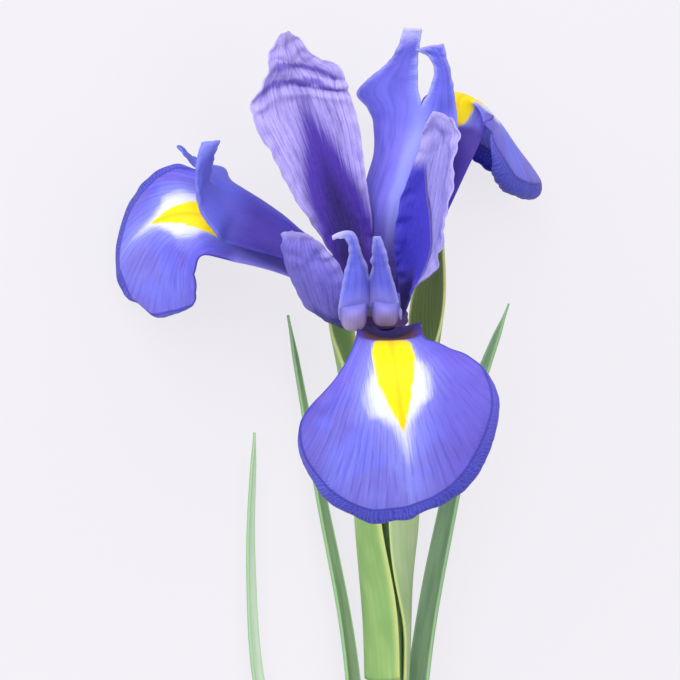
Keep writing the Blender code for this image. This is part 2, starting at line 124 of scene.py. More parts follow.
STANDARD_RIGHT = (
    ((4.2, -2.8, 0.6), (1.9, 1.9), (-0.8, -0.4, 0.3), 30),
    ((5.4, -7.4, 5.8), (3.6, 3.4), (-0.7, -0.6, 0.2), 45),
    ((6.6, -12.2, 11.8), (7.0, 5.0), (-0.6, -0.75, 0.1), 56),
    ((7.6, -16.2, 17.0), (8.6, 5.6), (-0.5, -0.85, 0.1), 56),
    ((8.8, -20.4, 23.0), (9.0, 5.6), (-0.5, -0.85, 0.1), 56),
    ((9.6, -24.2, 29.0), (8.4, 4.2), (-0.5, -0.85, 0.1), 52),
    ((10.5, -27.6, 34.6), (6.4, 3.0), (-0.5, -0.85, 0.1), 45),
    ((11.1, -29.8, 38.8), (4.6, 3.0), (-0.5, -0.85, 0.1), 35),
    ((11.3, -31.0, 41.0), (2.8, 1.8), (-0.5, -0.85, 0.1), 30),
)
STANDARD_LEFT = (
    ((-4.2, -3.8, -1.6), (1.4, 1.4), (0.6, 0.4, 0.5), 30),
    ((-8.6, -10.8, -2.2), (3.2, 3.4), (0.5, 0.4, 0.7), 50),
    ((-13.6, -16.6, 1.2), (6.4, 5.8), (0.5, 0.5, 0.6), 62),
    ((-16.2, -21.2, 6.6), (7.8, 8.4), (0.5, 0.6, 0.6), 62),
    ((-17.6, -24.2, 11.6), (7.0, 7.0), (0.5, 0.7, 0.5), 56),
    ((-17.8, -26.2, 15.4), (4.8, 4.8), (0.5, 0.7, 0.4), 45),
    ((-17.8, -26.8, 17.0), (1.8, 1.8), (0.5, 0.7, 0.4), 30),
)

# Style arms: ribs up to the lip, then a left and a right crest, each as rows of inner point, outer
# point and how far the middle of the row swells forwards.
STYLE_FRONT = (
    ((-0.4, -2.8, 2.4), (1.1, 1.1), (0, 0.2, 1), -20),
    ((-1.2, -11.4, 4.6), (3.4, 3.4), (0, 0.1, 1), -40),
    ((-2.1, -21.6, 5.0), (5.8, 5.8), (0, 0, 1), -56),
    ((-2.9, -30.0, 3.8), (7.0, 7.0), (0, 0.1, 1), -52),
    ((-3.2, -36.2, 1.8), (6.8, 7.0), (0, 0.1, 1), -44),
)
CRESTS_FRONT = (
    (
        ((-3.5, -38.4, 3.6), (-9.4, -38.0, 1.6), 1.8),
        ((-3.6, -40.2, 7.0), (-8.8, -40.0, 5.4), 1.5),
        ((-4.1, -42.4, 10.4), (-8.0, -42.2, 9.4), 1.0),
        ((-5.4, -44.8, 13.6), (-7.4, -44.8, 12.8), 0.6),
        ((-6.6, -46.4, 16.6), (-8.0, -46.2, 15.2), 0.3),
        ((-9.0, -47.0, 16.6), (-9.4, -46.8, 15.4), 0.2),
        ((-10.8, -47.0, 15.8), (-10.6, -46.8, 15.0), 0.1),
    ),
    (
        ((-3.0, -38.4, 3.6), (2.6, -38.0, 2.2), 1.8),
        ((-3.0, -40.2, 7.0), (1.7, -40.0, 5.8), 1.5),
        ((-2.9, -42.4, 10.2), (0.6, -42.2, 9.4), 1.0),
        ((-2.7, -44.8, 13.2), (-0.2, -44.8, 12.6), 0.6),
        ((-2.5, -46.6, 15.8), (-1.5, -46.4, 15.8), 0.3),
    ),
)
STYLE_LEFT = (
    ((-2.2, -1.6, 3.6), (1.1, 1.1), (0.4, -0.5, 0.8), -20),
    ((-8.6, -6.0, 10.2), (3.4, 3.8), (0.4, -0.5, 0.8), -40),
    ((-16.6, -10.2, 17.0), (5.4, 7.4), (0.3, -0.55, 0.8), -52),
    ((-23.8, -13.4, 22.0), (8.0, 10.4), (0.2, -0.6, 0.8), -56),
    ((-29.6, -15.8, 25.4), (9.8, 12.4), (-0.1, -0.6, 0.8), -58),
)
CRESTS_LEFT = (
    (
        ((-33.6, -17.2, 27.0), (-33.6, -9.0, 31.2), 1.2),
        ((-36.8, -18.6, 29.0), (-37.4, -12.2, 32.2), 1.0),
        ((-39.6, -20.0, 31.4), (-40.8, -15.8, 34.2), 0.8),
        ((-41.4, -21.0, 33.8), (-42.8, -18.6, 35.8), 0.5),
    ),
    (
        ((-33.8, -18.0, 26.2), (-34.4, -24.8, 16.8), 1.6),
        ((-36.2, -20.0, 28.4), (-37.8, -25.4, 21.4), 1.3),
        ((-35.6, -22.0, 31.6), (-38.8, -26.0, 26.8), 1.0),
        ((-34.8, -23.8, 34.2), (-38.6, -26.2, 31.8), 0.6),
        ((-33.8, -25.0, 36.2), (-37.6, -26.2, 35.8), 0.4),
    ),
)
STYLE_BACK = (
    ((0.6, 0.8, 4.6), (1.1, 1.1), (-0.3, -0.9, 0.3), -20),
    ((0.8, 0.2, 13.4), (3.4, 4.3), (-0.3, -0.9, 0.3), -35),
    ((2.6, -0.6, 24.6), (6.0, 9.4), (-0.3, -0.95, 0.2), -45),
    ((5.0, -0.8, 33.4), (8.6, 9.0), (-0.2, -1, 0.2), -42),
    ((7.0, -0.6, 39.4), (9.4, 10.4), (-0.1, -1, 0.2), -32),
)
CRESTS_BACK = (
    (
        ((8.7, -1.4, 44.8), (15.8, 1.8, 43.4), 0.8),
        ((9.8, -2.8, 48.6), (15.2, -0.6, 47.6), 0.8),
        ((10.8, -4.4, 52.0), (14.4, -3.4, 52.0), 0.6),
        ((9.8, -6.2, 55.0), (13.2, -5.6, 55.4), 0.5),
        ((6.8, -7.6, 56.8), (12.8, -7.4, 57.8), 0.4),
    ),
    (
        ((7.5, -1.4, 45.2), (-3.2, 2.6, 45.0), 0.8),
        ((7.4, -2.8, 49.8), (-5.6, 1.6, 48.6), 0.8),
        ((7.3, -4.6, 54.0), (-0.2, -2.4, 53.4), 0.8),
        ((7.6, -6.6, 57.8), (2.8, -5.6, 56.8), 0.6),
        ((8.0, -8.4, 61.0), (4.4, -8.0, 61.2), 0.4),
    ),
)

# Green parts. The stem's axis is a row of points from the ovary down to the cut.
STEM = ((0.9, 16.6, -33.0), (1.1, 19.0, -52.0), (1.2, 22.4, -74.0), (1.4, 26.0, -98.0), (1.6, 29.6, -122.0))
OVARY = (
    ((0.0, 1.6, -3.6), 2.6),
    ((0.2, 4.4, -8.0), 2.2),
    ((0.4, 8.0, -14.0), 3.3),
    ((0.7, 12.6, -24.0), 3.4),
    ((0.9, 16.0, -31.6), 2.4),
)
SPATHE_LEFT = (
    ((-1.6, 19.4, -80.0), (5.9, 5.9), (0.6, 0.8, 0), 72),
    ((-2.7, 17.7, -66.0), (6.6, 6.6), (0.75, 0.66, 0), 73),
    ((-5.2, 16.4, -48.0), (7.6, 7.6), (0.95, 0.3, 0), 66),
    ((-6.8, 15.6, -30.0), (8.2, 8.2), (1, 0, 0), 60),
    ((-9.2, 13.8, -12.0), (6.0, 6.0), (0.95, -0.2, 0), 54),
    ((-10.6, 12.2, 0.0), (3.4, 3.4), (0.8, -0.5, 0), 44),
    ((-11.0, 11.6, 7.0), (0.6, 0.6), (0.8, -0.5, 0), 30),
)
SPATHE_RIGHT = (
    ((5.0, 26.0, -80.0), (5.9, 5.9), (-0.8, -0.6, 0), 72),
    ((5.9, 23.4, -66.0), (6.4, 6.4), (-0.9, -0.43, 0), 70),
    ((7.4, 16.4, -48.0), (7.8, 7.8), (-0.95, 0.3, 0), 68),
    ((8.0, 13.4, -30.0), (8.4, 8.4), (-0.95, 0.3, 0), 64),
    ((11.2, 15.0, -10.0), (7.4, 7.4), (-0.9, -0.3, 0), 56),
    ((11.2, 16.0, 5.0), (4.8, 4.8), (-0.6, -0.8, 0), 44),
    ((12.8, 16.2, 19.0), (0.6, 0.6), (-0.5, -0.85, 0), 30),
)
LEAF_RIGHT = (
    ((7.4, 30.4, -114.0), (3.8, 3.8), (-0.8, -0.6, 0), 40),
    ((7.8, 28.6, -92.0), (3.4, 3.4), (-0.7, -0.7, 0), 40),
    ((9.6, 27.0, -72.0), (2.6, 2.6), (-0.5, -0.9, 0), 35),
    ((13.4, 25.6, -50.0), (2.4, 2.4), (-0.5, -0.9, 0), 30),
    ((20.0, 23.8, -20.0), (1.7, 1.7), (-0.5, -0.9, 0), 20),
    ((28.2, 22.0, 3.4), (0.4, 0.4), (-0.5, -0.9, 0), 10),
)
LEAF_LEFT = (
    ((-5.4, 28.6, -114.0), (2.8, 2.8), (0.8, -0.6, 0), 40),
    ((-5.6, 26.6, -92.0), (2.2, 2.2), (0.6, -0.8, 0), 35),
    ((-8.0, 23.8, -68.0), (1.7, 1.7), (0.6, -0.8, 0), 30),
    ((-14.2, 19.6, -35.0), (1.2, 1.2), (0.6, -0.8, 0), 20),
    ((-20.6, 16.0, 0.8), (0.4, 0.4), (0.6, -0.8, 0), 10),
)
LEAF_FAR_LEFT = (
    ((-7.4, 27.2, -118.0), (2.2, 2.2), (0.6, -0.8, 0), 35),
    ((-19.0, 23.0, -106.0), (1.8, 1.8), (0.6, -0.8, 0), 30),
    ((-26.8, 19.0, -82.0), (1.4, 1.4), (0.6, -0.8, 0), 20),
    ((-28.8, 16.4, -53.0), (1.0, 1.0), (0.6, -0.8, 0), 15),
    ((-27.9, 15.0, -25.0), (0.4, 0.4), (0.6, -0.8, 0), 10),
)

# Stamens: a filament that widens into an anther, lying under each style arm.
STAMENS = {
    "stamen_front": ((0.0, -6.0, -0.6), (-0.8, -14.0, -0.4), (-1.2, -22.0, 0.0), (-1.6, -30.0, 0.0)),
    "stamen_left": ((-5.4, -2.4, 3.4), (-11.0, -5.4, 8.2), (-17.6, -8.6, 13.4), (-24.4, -11.4, 17.8)),
    "stamen_back": ((1.8, 3.0, 8.0), (3.4, 3.2, 15.0), (6.0, 3.6, 23.0), (8.8, 4.2, 31.0)),
}
STAMEN_RADII = (0.5, 0.6, 1.0, 0.5)

# ---------------------------------------------------------------- surfaces


def turn_down():
    """The move that lays the standing plant down in the frame."""
    back = Matrix.Rotation(math.radians(LAY_BACK), 4, "X")
    roll = Matrix.Rotation(math.radians(LAY_ROLL), 4, "Y")
    dip = Matrix.Rotation(math.radians(LAY_DIP), 4, "X")
    return Matrix.Translation(Vector(THROAT) * MM) @ dip @ roll @ back


def run_through(rows, count):
    """A smooth run through rows of numbers, sampled evenly at count places."""
    p = np.vstack([2 * rows[0] - rows[1], rows, 2 * rows[-1] - rows[-2]])
    at = np.linspace(0, len(rows) - 1, count)
    i = np.minimum(at.astype(int), len(rows) - 2)
    t = (at - i)[:, None]
    a, b, c, d = p[i], p[i + 1], p[i + 2], p[i + 3]
    linear, square, cube = c - a, 2 * a - 5 * b + 4 * c - d, 3 * b - a - 3 * c + d
    return b + 0.5 * (linear * t + square * t**2 + cube * t**3)


def unit(vectors):
    return vectors / np.maximum(np.linalg.norm(vectors, axis=-1, keepdims=True), 1e-9)


def smooth(low, high, x):
    """A soft step from 0, where x is low, to 1, where it is high."""
    t = np.clip((np.asarray(x, float) - low) / (high - low), 0, 1)
    return t * t * (3 - 2 * t)


def lengths(points):
    """How far along a row of points each one is."""
    return np.concatenate([[0], np.cumsum(np.linalg.norm(np.diff(points, axis=0), axis=1))])


def grid_faces(index):
    """The faces of a grid, from the grid of the indices of its points."""
    corners = index[:-1, :-1], index[1:, :-1], index[1:, 1:], index[:-1, 1:]
    return np.stack(corners, -1).reshape(-1, 4).tolist()


def rib_grid(ribs, count, columns, slant=0.0, grow=0.0, taper=0.0):
    """Points over a petal, a row for each of count places along it, and their span and across. slant is
    the degrees that its rows are turned, grow is how much bigger than its ribs it is made, and taper is
    how much narrower its very tip is made."""
    rows = np.array([(*m, *reach, *face, cup) for m, reach, face, cup in ribs], float)
    if grow:
        rows[-1, :3] += grow * unit(rows[-1, :3] - rows[-2, :3])
        rows[:, 3:5] += grow * np.clip(np.arange(len(rows)) - 2, 0, 2)[:, None] / 2
        rows[-1, 3:5] -= grow
    run = run_through(rows, count)
    spine = run[:, :3]
    along = unit(np.gradient(spine, axis=0))
    side = unit(np.cross(run[:, 5:8], along))
    normal = np.cross(along, side)
    tilt = np.radians(slant) * np.minimum(2 * np.arange(count) / count, 1)[:, None]
    side = side * np.cos(tilt) - along * np.sin(tilt)
    bend = np.radians(run[:, 8:9])
    bend[np.abs(bend) < 1e-6] = 1e-6
    even = np.linspace(-1, 1, columns)[None, :]
    span = 0.5 * np.sin(even * math.pi / 2) + 0.5 * even
    reach = np.maximum(np.where(span < 0, run[:, 3:4], run[:, 4:5]), NARROWEST)
    reach = reach * (1 - taper * smooth(TIP_FROM, 1, np.linspace(0, 1, count)))[:, None]
    across = reach * np.sin(bend * span) / bend
    rise = reach * (1 - np.cos(bend * span)) / bend
    points = spine[:, None] + side[:, None] * across[..., None] + normal[:, None] * rise[..., None]
    return points, span * np.ones_like(reach), span * reach


class Sheet:
    """A surface of points in the plant's frame, with what its finish needs to know of each: span, its
    share of the way from midrib to edge; across and along, its distance from the midrib and from the
    base; edge, its distance from the rim; rim, how far round the rim it is; and fan, which runs
    across the veins."""

    def __init__(self, name):
        self.name = name
        self.points = np.zeros((0, 3))
        self.faces = []
        self.facts = {key: np.zeros(0) for key in ("span", "across", "along")}
        self.rims = []
        self.caps = []

    def add_grid(self, points, span, across, along, shared=None):
        """shared is a grid of indices of points that are there already, with -1 for a new one."""
        index = np.full(points.shape[:2], -1) if shared is None else shared.copy()
        new = index < 0
        index[new] = len(self.points) + np.arange(new.sum())
        self.points = np.vstack([self.points, points[new]])
        for key, values in (("span", span), ("across", across), ("along", along)):
            self.facts[key] = np.concatenate([self.facts[key], values[new]])
        self.faces += grid_faces(index)
        return index

    def normals(self):
        faces = np.array(self.faces)
        a, b, c, d = (self.points[faces[:, k]] for k in range(4))
        flat = np.cross(c - a, d - b)
        total = np.zeros_like(self.points)
        for k in range(4):
            np.add.at(total, faces[:, k], flat)
        return unit(total)

    def round_rim(self, index):
        """Take the sides and the far end of a grid of indices as its rim."""
        self.rims.append(np.concatenate([index[:, 0], index[-1, 1:-1], index[::-1, -1]]))
        self.find_rim()

    def find_rim(self):
        """Work out how far from the rim each point is, and where round the rim it is nearest."""
        rims = [self.points[r] for r in self.rims]
        rim, place = np.vstack(rims), np.concatenate([lengths(r) for r in rims])
        near = np.zeros(len(self.points), int)
        for start in range(0, len(self.points), NEAR_AT_ONCE):
            batch = slice(start, start + NEAR_AT_ONCE)
            near[batch] = np.linalg.norm(self.points[batch, None] - rim[None], axis=2).argmin(axis=1)
        self.facts["edge"] = np.linalg.norm(rim[near] - self.points, axis=1)
        self.facts["rim"] = place[near]
        self.facts["fan"] = self.facts["span"]

    def push(self, amount):
        """Move every point by amount along its normal, towards the face that looks in or up."""
        self.points = self.points + self.normals() * amount[:, None]

    def lumps(self, size, seed, stretch=(1.0, 1.0)):
        """Soft random lumps from -1 to 1, size across, and stretched across and along the petal."""
        places = zip(self.facts["across"] / size / stretch[0], self.facts["along"] / size / stretch[1])
        return np.array([1.6 * noise.noise(Vector((a, b, seed))) for a, b in places])

    def crumple(self, height, size, seed, stretch=(1.0, 1.0), band=None, low=4.0):
        """Soft crumples over the petal, or in a band at its rim, from low along it."""
        mask = smooth(low, low + 8, self.facts["along"])
        if band:
            mask = mask * (1 - smooth(0, band, self.facts["edge"]))
        self.push(height * self.lumps(size, seed, stretch) * mask)

    def frill(self, height, wave, band, seed, low=8.0):
        """Waves that run round the rim and die away inwards."""
        rim, edge = self.facts["rim"], self.facts["edge"]
        drift = np.array([noise.noise(Vector((r / (2.4 * wave), seed, 0.0))) for r in rim])
        waves = np.sin(2 * math.pi * (rim / wave + 1.6 * drift)) * (0.5 + 1.2 * np.abs(drift))
        mask = (1 - smooth(0, band, edge)) * smooth(low, low + 8, self.facts["along"])
        self.push(height * waves * mask)

    def curl_rim(self, radius, lows, seed, steps=7):
        """Carry the sheet on past its rim, curled backwards round radius. It grows from lows, distances
        along the left and right sides. Past the rim, edge is below zero."""
        rim = self.rims[0]
        points, normal = self.points[rim], self.normals()[rim]
        place = lengths(points)
        near = np.exp(-(((place[:, None] - place[None]) / 1.6) ** 2)) * np.gradient(place)[None]
        normal = unit(near @ normal)
        out = unit(near @ unit(np.cross(np.gradient(points, axis=0), normal)))
        span = near @ self.facts["span"][rim] / near.sum(axis=1)
        low = lows[0] + (lows[1] - lows[0]) * smooth(-0.5, 0.5, span)
        strength = 0.12 + 0.88 * smooth(0, CURL_EASE, self.facts["along"][rim] - low)
        drift = np.array([noise.noise(Vector((s / 5.0, seed, 0.0))) for s in place])
        pleats = 1 + 0.05 * np.sin(2 * math.pi * (place / PLEAT + 1.5 * drift)) * strength + 0.15 * drift
        bent = np.radians(CURL_TURN) * strength * np.linspace(0, 1, steps + 1)[1:, None]
        wide = radius * (strength * pleats)[None]
        outwards, back = (wide * np.sin(bent))[..., None], (wide * (1 - np.cos(bent)))[..., None]
        past = points + out * outwards - normal * back
        grid = np.concatenate([points[None], past])
        shared = np.full(grid.shape[:2], -1)
        shared[0] = rim
        held = {key: np.repeat(self.facts[key][rim][None], steps + 1, axis=0) for key in self.facts}
        self.add_grid(grid, held["span"], held["across"], held["along"], shared)
        self.facts["edge"] = np.concatenate([self.facts["edge"], -(wide * bent).ravel()])
        for key in ("rim", "fan"):
            self.facts[key] = np.concatenate([self.facts[key], held[key][1:].ravel()])


def petal_sheet(name, ribs, count, columns, slant=0.0, grow=0.0, taper=0.0):
    """A petal, or a leaf or a sheath, which are made the same way, over its ribs."""
    points, span, across = rib_grid(ribs, count, columns, slant, grow, taper)
    sheet = Sheet(name)
    along = np.repeat(lengths(points[:, columns // 2])[:, None], columns, axis=1)
    index = sheet.add_grid(points, span, across, along)
    sheet.round_rim(index)
    return sheet


def crest_grid(arm, share, crest, count, step):
    """One half of an arm, keel to outer edge, and the crest that it carries on into. share is how far
    from the keel each point of a row is, and step how many rows of points there are to a rib."""
    rows = [arm[-1 - step].ravel(), arm[-1].ravel()]
    for inner, outer, swell in crest:
        row = np.outer(1 - share, inner) + np.outer(share, outer)
        row[:, 1] -= 4 * swell * share * (1 - share)
        rows.append(row.ravel())
    rise = run_through(np.array(rows), count)
    return np.vstack([arm, rise[count // (len(rows) - 1) + 2 :].reshape(-1, len(share), 3)])


def arm_sheet(name, ribs, crests, joined, count=60, columns=49, crest_count=76):
    """A style arm. Each half runs from the keel to the outer edge, and on up its own crest. joined is
    how many rows of points up from the lip the two crests are one."""
    points, span, across = rib_grid(ribs, count, columns)
    half = columns // 2
    orders = slice(half, None, -1), slice(half, None)
    spans = [span[:, order] for order in orders]
    step = count // (len(ribs) - 1)
    grids = [
        crest_grid(points[:, order], np.abs(spans[0][-1]), crest, crest_count, step)
        for order, crest in zip(orders, crests)
    ]
    last = count + joined
    shared_rows = min(len(grid) for grid in grids)
    middle = 0.5 * (grids[0][:shared_rows, 0] + grids[1][:shared_rows, 0])
    pull = (1 - smooth(last - 1, last + 9, np.arange(shared_rows)))[:, None]
    sheet = Sheet(name)
    keel = None
    for number, (grid, arm_span) in enumerate(zip(grids, spans)):
        near = np.clip(1 - 3 * np.abs(arm_span[-1]), 0, 1)[None, :, None]
        shift = pull * (middle - grid[:shared_rows, 0])
        grid[:shared_rows] += shift[:, None] * near
        grid_span = np.vstack([arm_span, np.repeat(arm_span[-1:], len(grid) - count, axis=0)])
        along = np.repeat(lengths(grid[:, half // 2])[:, None], half + 1, axis=1)
        width = np.linalg.norm(grid - grid[:, :1], axis=2) * np.sign(grid_span)
        shared = np.full(grid.shape[:2], -1)
        if keel is not None:
            shared[:last, 0] = keel
        index = sheet.add_grid(grid, grid_span, width, along, shared)
        if number == 0:
            keel = index[:last, 0]
            sheet.faces = [face[::-1] for face in sheet.faces]
        sheet.rims.append(np.concatenate([index[:, -1], index[-1, ::-1], index[:last:-1, 0]]))
        sheet.lip = along[count, 0]
    sheet.find_rim()
    return sheet


def stalk_sheet(name, points, radii, count, sides, flutes, depth, flat=1.0):
    """A closed round stalk, with shallow flutes down it, as deep as depth times its radius. flat is how
    deep it is from front to back, as a share of its width."""
    run = run_through(np.array([(*p, r) for p, r in zip(points, radii)], float), count)
    spine, radius = run[:, :3], run[:, 3]
    along = unit(np.gradient(spine, axis=0))
    side = unit(np.cross(along, np.array([[0.0, -1.0, 0.1]])))
    front = np.cross(side, along)
    angle = np.linspace(-math.pi, math.pi, sides + 1)
    size = radius[:, None] * (1 + depth * np.cos(flutes * angle)[None, :])
    grid = spine[:, None] + side[:, None] * (size * np.sin(angle))[..., None]
    grid = grid + front[:, None] * (flat * size * np.cos(angle))[..., None]
    sheet = Sheet(name)
    span = np.repeat(angle[None, :] / math.pi, count, axis=0)
    far = np.repeat(lengths(spine)[:, None], sides + 1, axis=1)
    index = np.arange(count * sides).reshape(count, sides)
    index = np.hstack([index, index[:, :1]])
    sheet.points = grid[:, :-1].reshape(-1, 3)
    sheet.facts["span"] = span[:, :-1].ravel()
    sheet.facts["across"] = (span * radius[:, None] * math.pi)[:, :-1].ravel()
    sheet.facts["along"] = far[:, :-1].ravel()
    sheet.faces = grid_faces(index)
    sheet.facts["edge"] = lengths(spine)[-1] - sheet.facts["along"]
    sheet.facts["rim"] = sheet.facts["across"]
    sheet.facts["fan"] = sheet.facts["span"]
    sheet.caps = [index[0, :-1].tolist(), index[-1, -2::-1].tolist()]
    return sheet


def finish_sheet(sheet, wall, material, node):
    """Turn a sheet into a closed piece that stands for a node of the frame."""
    place = turn_down()
    turned = (sheet.points * MM) @ np.array(place.to_3x3()).T + np.array(place.translation)
    mesh = bpy.data.meshes.new(sheet.name)
    mesh.from_pydata(turned.tolist(), [], sheet.faces + sheet.caps)
    for name, keys in (("petal", ("span", "along", "edge")), ("mark", ("across", "rim", "fan"))):
        layer = mesh.attributes.new(name, "FLOAT_VECTOR", "POINT")
        values = np.stack([sheet.facts[key] for key in keys], 1)
        layer.data.foreach_set("vector", values.astype(np.float32).ravel())
    mesh.shade_smooth()
    piece = bpy.data.objects.new(sheet.name, mesh)
    bpy.context.scene.collection.objects.link(piece)
    if wall:
        thick = piece.modifiers.new("wall", "SOLIDIFY")
        thick.thickness = wall * MM
        thick.offset = 0.0
    mesh.materials.append(material)
    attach(piece, "root")
    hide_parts(node)
    return piece


# ---------------------------------------------------------------- finishes


def paint(red, green, blue):
    """A colour as the eye sees it, 0 to 255, as the shader's linear one."""
    return tuple(((c / 255 + 0.055) / 1.055) ** 2.4 for c in (red, green, blue)) + (1.0,)


class Nodes:
    """Short ways to add and join the nodes of a material or a group."""

    def __init__(self, tree):
        self.tree = tree

    def add(self, kind, values=None, **settings):
        node = self.tree.nodes.new("ShaderNode" + kind)
        for key, value in settings.items():
            setattr(node, key, value)
        for key, value in (values or {}).items():
            self.join(value, node.inputs[key])
        return node

    def join(self, value, socket):
        if isinstance(value, bpy.types.NodeSocket):
            self.tree.links.new(value, socket)
        else:
            socket.default_value = value

    def math(self, operation, *values):
        return self.add("Math", dict(enumerate(values)), operation=operation).outputs[0]

    def times(self, first, second):
        return self.math("MULTIPLY", first, second)

    def line(self, value, slope, start):
        """slope times value, plus start."""
        return self.math("MULTIPLY_ADD", value, slope, start)

    def size(self, value):
        return self.math("ABSOLUTE", value)

    def step(self, value, low, high, to_low=0.0, to_high=1.0):
        """A soft step from to_low, where value is low, to to_high."""
        ends = {"Value": value, "From Min": low, "From Max": high, "To Min": to_low, "To Max": to_high}
        return self.add("MapRange", ends, interpolation_type="SMOOTHSTEP").outputs[0]

    def mix(self, share, first, second):
        node = self.add("Mix", data_type="RGBA")
        for socket, value in ((0, share), (6, first), (7, second)):
            self.join(value, node.inputs[socket])
        return node.outputs[2]

    def noise(self, vector, scale, detail=2.0, rough=0.5):
        given = {"Vector": vector, "Scale": scale, "Detail": detail, "Roughness": rough}
        return self.add("TexNoise", given).outputs[0]

    def vector(self, x, y, z):
        return self.add("CombineXYZ", {0: x, 1: y, 2: z}).outputs[0]

    def widths(self, value, points):
        """A curve through points of (value, width), with no width over WIDEST."""
        low, high = points[0][0], points[-1][0]
        share = self.add("MapRange", {"Value": value, "From Min": low, "From Max": high}).outputs[0]
        node = self.add("FloatCurve", {"Value": share})
        curve = node.mapping.curves[0]
        for _ in points[2:]:
            curve.points.new(0.5, 0.5)
        for made, (x, y) in zip(curve.points, points):
            made.location = ((x - low) / (high - low), y / WIDEST)
        node.mapping.update()
        return self.times(node.outputs[0], WIDEST)

    def facts(self):
        """Span, along, edge, across, rim and fan, as a sheet's points hold them."""
        found = []
        for name in ("petal", "mark"):
            held = self.add("Attribute", attribute_name=name).outputs["Vector"]
            found += list(self.add("SeparateXYZ", {0: held}).outputs)
        return found

    def group(self, group, values):
        node = self.tree.nodes.new("ShaderNodeGroup")
        node.node_tree = group
        for key, value in values.items():
            self.join(value, node.inputs[key])
        return node.outputs


def new_group(name, inputs, outputs):
    tree = bpy.data.node_groups.new(name, "ShaderNodeTree")
    for side, sockets in (("INPUT", inputs), ("OUTPUT", outputs)):
        for socket in sockets:
            tree.interface.new_socket(socket, in_out=side, socket_type="NodeSocketFloat")
    nodes = Nodes(tree)
    return tree, nodes, tree.nodes.new("NodeGroupInput").outputs, tree.nodes.new("NodeGroupOutput").inputs


def vein_group():
    """Fine veins that fan out with the petal, the soft streaks between them, and broad patches."""
    given = ("Fan", "Along", "Count", "Wander")
    tree, n, given, result = new_group("petal_veins", given, ("Lines", "Streaks", "Patches"))
    far = n.times(given["Along"], 0.06)
    drift = n.noise(n.vector(n.times(given["Fan"], 3.0), far, 0.0), 2.2, 3.0, 0.6)
    angle = n.line(given["Fan"], given["Count"], n.times(drift, given["Wander"]))
    thick = n.step(n.math("SINE", angle), 0.5, 1.0)
    fine = n.step(n.math("SINE", n.line(angle, 2.13, 1.0)), 0.6, 1.0)
    lines = n.math("MAXIMUM", thick, n.times(fine, 0.5))
    place = n.vector(n.times(given["Fan"], 26.0), n.times(far, 3.0), 2.0)
    n.join(n.times(lines, n.step(n.noise(place, 1.0), 0.3, 0.6)), result["Lines"])
    place = n.vector(n.times(given["Fan"], 24.0), far, 5.0)
    n.join(n.noise(place, 1.4, 4.0, 0.6), result["Streaks"])
    place = n.vector(n.times(given["Fan"], 2.4), far, 9.0)
    n.join(n.noise(place, 1.8, 3.0, 0.55), result["Patches"])
    return tree


def relief_group():
    """The height of a petal's face: its veins, its crepe, and cross wrinkles where the rim curls."""
    given = ("Lines", "Across", "Along", "Rim", "Edge", "Crepe", "Curl")
    tree, n, given, result = new_group("petal_relief", given, ("Height", "Wrinkle"))
    place = n.vector(given["Across"], n.times(given["Along"], 0.4), 0.0)
    crepe = n.times(n.noise(place, 1.0, 5.0, 0.62), given["Crepe"])
    drift = n.noise(n.vector(given["Rim"], given["Edge"], 0.0), 0.5)
    wave = n.math("SINE", n.line(given["Rim"], 7.6, n.times(drift, 16.0)))
    near = n.times(n.step(given["Edge"], 2.6, 1.6), given["Curl"])
    wrinkle = n.times(n.step(wave, -0.7, 1.0), near)
    height = n.math("SUBTRACT", crepe, n.times(given["Lines"], 0.4))
    n.join(n.math("ADD", height, n.times(wrinkle, 1.4)), result["Height"])
    n.join(wrinkle, result["Wrinkle"])
    return tree


# How wide a fall's flash is at places along the petal: half its width and FLASH_SPARE, in millimetres.
WIDEST = 10.0
FLASH_SPARE = 2.0
GOLD_WIDTHS = (
    (30, 0), (36, 1), (40, 5), (43, 6), (47, 6.1),
    (50, 5.8), (53, 5), (57, 3.7), (61, 2.2), (66, 0),
)
WHITE_WIDTHS = (
    (30, 0), (38, 3), (42, 5), (47, 5.8), (51, 7.8),
    (55, 8), (58, 5.4), (62, 2.8), (66, 2), (71, 0),
)
FLASH_FROM = 40.0  # where along a fall its flash begins to show
FLASH_MIDDLE = 44.0  # and where a flash that leans is in its place


def flash_group():
    """The yellow flash of a fall, the white round it, the pale glow round that, and its golden midline."""
    tree, n, given, result = new_group("fall_flash", ("Across", "Along"), ("Gold", "White", "Glow", "Core"))
    aside = n.size(given["Across"])
    off = n.math("ADD", aside, FLASH_SPARE)
    place = n.vector(n.times(given["Across"], 2.8), n.times(given["Along"], 0.22), 0.0)
    jag = n.math("SUBTRACT", n.noise(place, 1.0, 3.0, 0.6), 0.5)
    gold = n.math("SUBTRACT", n.widths(given["Along"], GOLD_WIDTHS), off)
    gold = n.line(jag, 1.8, gold)
    white = n.math("SUBTRACT", n.widths(given["Along"], WHITE_WIDTHS), off)
    white = n.line(jag, 3.2, white)
    n.join(n.step(gold, -0.35, 0.35), result["Gold"])
    n.join(n.step(white, -2.0, 1.4), result["White"])
    n.join(n.step(white, -7.0, -0.5), result["Glow"])
    n.join(n.step(aside, 1.0, 0.0, 0.0, 0.8), result["Core"])
    return tree


